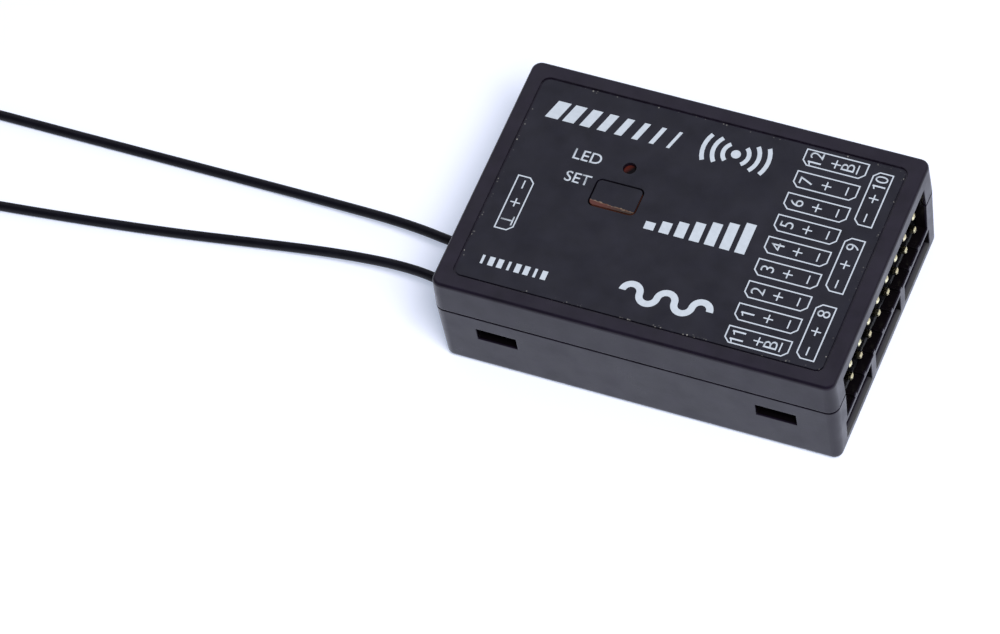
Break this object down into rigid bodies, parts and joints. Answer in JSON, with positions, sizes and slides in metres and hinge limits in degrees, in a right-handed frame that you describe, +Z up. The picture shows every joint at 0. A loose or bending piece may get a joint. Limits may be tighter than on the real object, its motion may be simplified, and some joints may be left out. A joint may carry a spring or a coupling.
{
  "type": "rc receiver",
  "caption": "Flat black radio-control receiver in a two-part snap case, with rows of gold servo pins at one end and two thin coaxial antenna leads at the other.",
  "frame": {"origin": "centre of the underside of the case", "axes": "+X towards the end with the servo sockets, +Y towards the back long side, +Z up through the label"},
  "size_m": [0.1263, 0.0446, 0.0141],
  "materials": {
    "shell_plastic": "satin",
    "label_foil": "satin",
    "button_plastic": "gloss",
    "light_pipe_plastic": "gloss",
    "header_plastic": "matte",
    "pin_metal": "polished",
    "board_laminate": "gloss",
    "chip_plastic": "matte",
    "sheet_metal": "brushed",
    "capacitor_body": "satin",
    "ceramic": "satin",
    "lamp_plastic": "gloss",
    "lead_jacket": "satin"
  },
  "bodies": {
    "case": {"lower_shell": "shell_plastic", "upper_shell": "shell_plastic", "label_foil": "label_foil", "light_pipe": "light_pipe_plastic", "switch_housing": "chip_plastic", "switch_cover": "sheet_metal", "servo_header_block": "header_plastic", "servo_pins_bottom": "pin_metal", "servo_pins_middle": "pin_metal", "servo_pins_top": "pin_metal", "lower_header_blocks": "header_plastic", "lower_header_pins": "pin_metal", "telemetry_header_block": "header_plastic", "telemetry_header_pins": "pin_metal", "main_board": "board_laminate", "microcontroller": "chip_plastic", "status_lamp": "lamp_plastic", "crystal": "sheet_metal", "voltage_regulator": "chip_plastic", "bulk_capacitors": "capacitor_body", "ceramic_capacitors": "ceramic", "chip_resistors": "chip_plastic", "radio_chip": "chip_plastic", "radio_amplifiers": "chip_plastic", "radio_shield": "sheet_metal", "coax_sockets": "pin_metal", "coax_plugs": "pin_metal", "antenna_lead_1": "lead_jacket", "antenna_lead_2": "lead_jacket", "antenna_coil_1": "lead_jacket", "antenna_coil_2": "lead_jacket"},
    "set_button": {"button_cap": "button_plastic", "button_foil": "label_foil", "switch_plunger": "lamp_plastic"}
  },
  "joints": [
    {"name": "button_press", "type": "slide", "parent": "case", "child": "set_button", "axis": [0, 0, -1], "range_m": [0, 0.0003], "stiffness_N_per_m": 2000, "springref_m": -0.0001}
  ]
}
